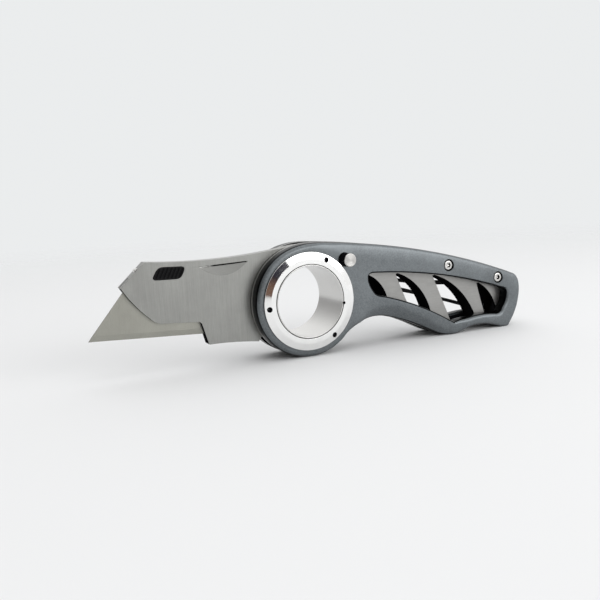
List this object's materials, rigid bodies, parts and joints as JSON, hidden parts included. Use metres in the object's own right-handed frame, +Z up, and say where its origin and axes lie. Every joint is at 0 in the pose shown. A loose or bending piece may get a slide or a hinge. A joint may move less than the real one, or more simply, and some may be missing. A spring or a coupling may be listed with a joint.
{
  "type": "folding utility knife",
  "caption": "Folding utility knife with a hollow finger-ring pivot, plunger lock, slotted blade carrier, windowed grip scales and belt clip.",
  "frame": {"origin": "centre of the finger ring, midway through the knife", "axes": "+X from the ring to the tail of the handle, +Y across the knife from the lock-button side to the belt-clip side, +Z up with the knife standing on its edge and its spine on top"},
  "size_m": [0.1628, 0.0227, 0.0384],
  "materials": {
    "scale_paint": "blue-grey metallic, satin",
    "liner_steel": "brushed",
    "black_oxide": "black oxide, matt",
    "hardened_steel": "turned",
    "sleeve_steel": "fine turned",
    "ring_chrome": "polished",
    "bronze": "satin",
    "screw_steel": "turned",
    "clip_black": "black, satin",
    "screw_black": "black oxide",
    "spring_steel": "drawn wire",
    "carrier_steel": "brushed",
    "black_rib": "matt",
    "blade_steel": "ground"
  },
  "bodies": {
    "handle": {"front_scale": "scale_paint", "back_scale": "scale_paint", "front_liner": "liner_steel", "back_liner": "liner_steel", "spine_spacer": "black_oxide", "stop_pin": "hardened_steel", "pivot_sleeve": "sleeve_steel", "ring_nut": "ring_chrome", "front_washer": "bronze", "back_washer": "bronze", "front_scale_screws": "screw_steel", "back_scale_screws": "screw_steel", "belt_clip": "clip_black", "clip_screws": "screw_black", "lock_spring": "spring_steel"},
    "carrier": {"carrier_front_half": "carrier_steel", "carrier_back_half": "carrier_steel", "carrier_pins": "hardened_steel", "release_spring": "spring_steel", "utility_blade": "blade_steel"},
    "release": {"release_button": "black_rib", "release_catch": "hardened_steel"},
    "lock": {"lock_button": "screw_steel", "lock_plunger": "hardened_steel"}
  },
  "joints": [
    {"name": "fold", "type": "hinge", "parent": "handle", "child": "carrier", "pos_m": [0, 0, 0], "axis": [0, -1, 0], "range_deg": [0, 177.5], "deforming": ["lock_plunger"]},
    {"name": "lock_press", "type": "slide", "parent": "handle", "child": "lock", "axis": [0, 1, 0], "range_m": [0, 0.0025], "stiffness_N_per_m": 1200, "deforming": ["lock_spring"]},
    {"name": "release_press", "type": "slide", "parent": "carrier", "child": "release", "axis": [0, 1, 0], "range_m": [0, 0.001], "stiffness_N_per_m": 800, "deforming": ["release_spring"]}
  ]
}
